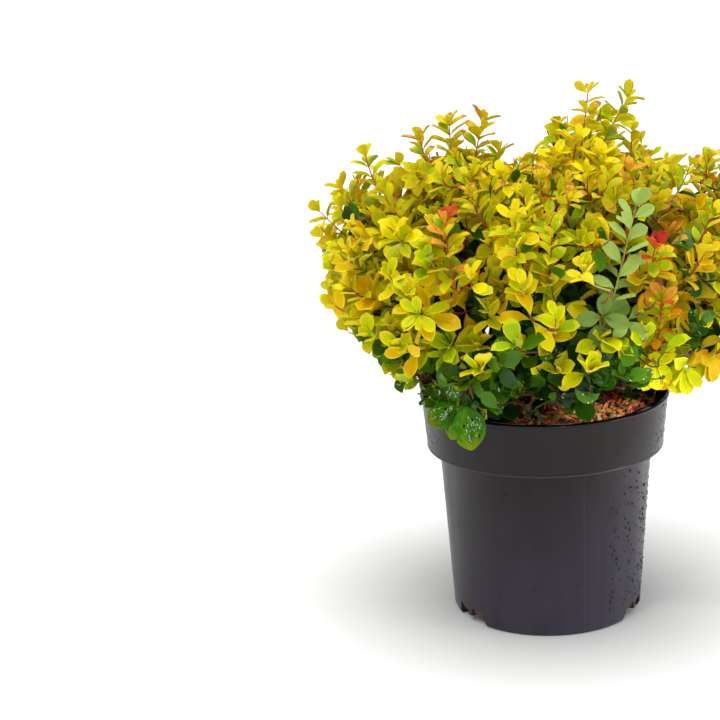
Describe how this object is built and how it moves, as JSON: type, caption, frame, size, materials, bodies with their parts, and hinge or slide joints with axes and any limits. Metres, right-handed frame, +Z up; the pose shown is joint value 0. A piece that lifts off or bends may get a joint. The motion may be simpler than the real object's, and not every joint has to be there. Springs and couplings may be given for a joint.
{
  "type": "potted japanese barberry",
  "caption": "Rounded golden-leaved barberry shrub in a black plastic nursery pot, standing free on the pot's flat underside.",
  "frame": {"origin": "middle of the pot's flat underside", "axes": "+Z up along the pot's axis; the picture looks along +Y, with +X to its right"},
  "size_m": [0.3902, 0.373, 0.4882],
  "materials": {
    "pot_plastic": "satin",
    "potting_mix": "rough bark mulch",
    "bark": "rough bark",
    "golden_leaves": "satin leaf"
  },
  "bodies": {
    "root": {"pot": "pot_plastic", "root_ball": "potting_mix", "stem": "bark", "bough_top_right": "bark", "bough_top_left": "bark", "bough_top_front": "bark", "bough_top_back": "bark", "bough_upper_right": "bark", "bough_upper_front_right": "bark", "bough_upper_front_left": "bark", "bough_upper_left": "bark", "bough_upper_back_left": "bark", "bough_upper_back_right": "bark", "bough_lower_right": "bark", "bough_lower_front_right": "bark", "bough_lower_front": "bark", "bough_lower_front_left": "bark", "bough_lower_left": "bark", "bough_lower_back_left": "bark", "bough_lower_back_right": "bark", "foliage_top_right": "golden_leaves", "foliage_top_left": "golden_leaves", "foliage_top_front": "golden_leaves", "foliage_top_back": "golden_leaves", "foliage_upper_right": "golden_leaves", "foliage_upper_front_right": "golden_leaves", "foliage_upper_front_left": "golden_leaves", "foliage_upper_left": "golden_leaves", "foliage_upper_back_left": "golden_leaves", "foliage_upper_back_right": "golden_leaves", "foliage_lower_right": "golden_leaves", "foliage_lower_front_right": "golden_leaves", "foliage_lower_front": "golden_leaves", "foliage_lower_front_left": "golden_leaves", "foliage_lower_left": "golden_leaves", "foliage_lower_back_left": "golden_leaves", "foliage_lower_back_right": "golden_leaves"}
  },
  "joints": []
}
